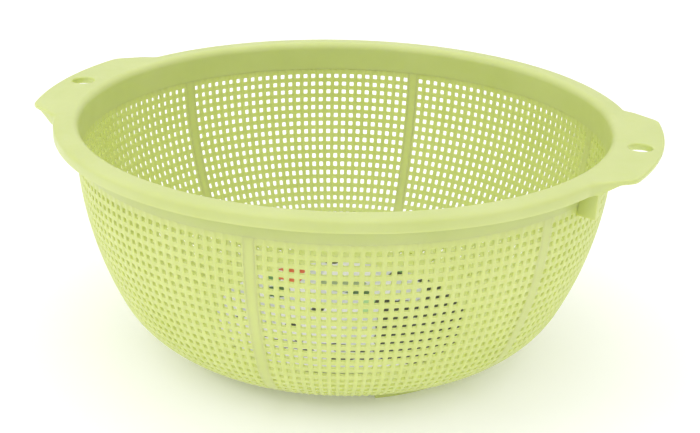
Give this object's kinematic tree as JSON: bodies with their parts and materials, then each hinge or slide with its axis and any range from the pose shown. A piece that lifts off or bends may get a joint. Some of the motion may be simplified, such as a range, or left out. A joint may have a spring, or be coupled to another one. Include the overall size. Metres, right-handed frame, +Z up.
{
  "type": "strainer basket",
  "caption": "Round plastic strainer basket with a rolled rim, two lug handles, a fine ribbed mesh wall and floor on a low foot ring, and a loose round card lying inside.",
  "frame": {"origin": "centre of the foot ring on the plane the basket stands on", "axes": "+Z up along the bowl's axis; the two handles lie on the X axis"},
  "size_m": [0.294, 0.27, 0.1116],
  "materials": {
    "basket": "satin moulded polypropylene, lime green",
    "card": "coated printed card"
  },
  "bodies": {
    "root": {"rim_back_right": "basket", "rim_back_left": "basket", "rim_front_left": "basket", "rim_front_right": "basket", "roll_right": "basket", "roll_left": "basket", "handle_right": "basket", "handle_left": "basket", "gussets_right": "basket", "gussets_left": "basket", "upper_band_right": "basket", "upper_band_back_right": "basket", "upper_band_back_left": "basket", "upper_band_left": "basket", "upper_band_front_left": "basket", "upper_band_front_right": "basket", "side_ribs": "basket", "corner_ribs": "basket", "side_mesh_right": "basket", "side_mesh_back_right": "basket", "side_mesh_back_left": "basket", "side_mesh_left": "basket", "side_mesh_front_left": "basket", "side_mesh_front_right": "basket", "corner_mesh_right": "basket", "corner_mesh_back_right": "basket", "corner_mesh_back_left": "basket", "corner_mesh_left": "basket", "corner_mesh_front_left": "basket", "corner_mesh_front_right": "basket", "base_ring": "basket", "floor_mesh": "basket", "floor_hub": "basket", "foot_front_right": "basket", "foot_back": "basket", "foot_front_left": "basket"},
    "card": {"product_card": "card"}
  },
  "joints": [
    {"name": "card_lift", "type": "slide", "parent": "root", "child": "card", "axis": [0, 0, 1], "range_m": [0, 0.12]}
  ]
}
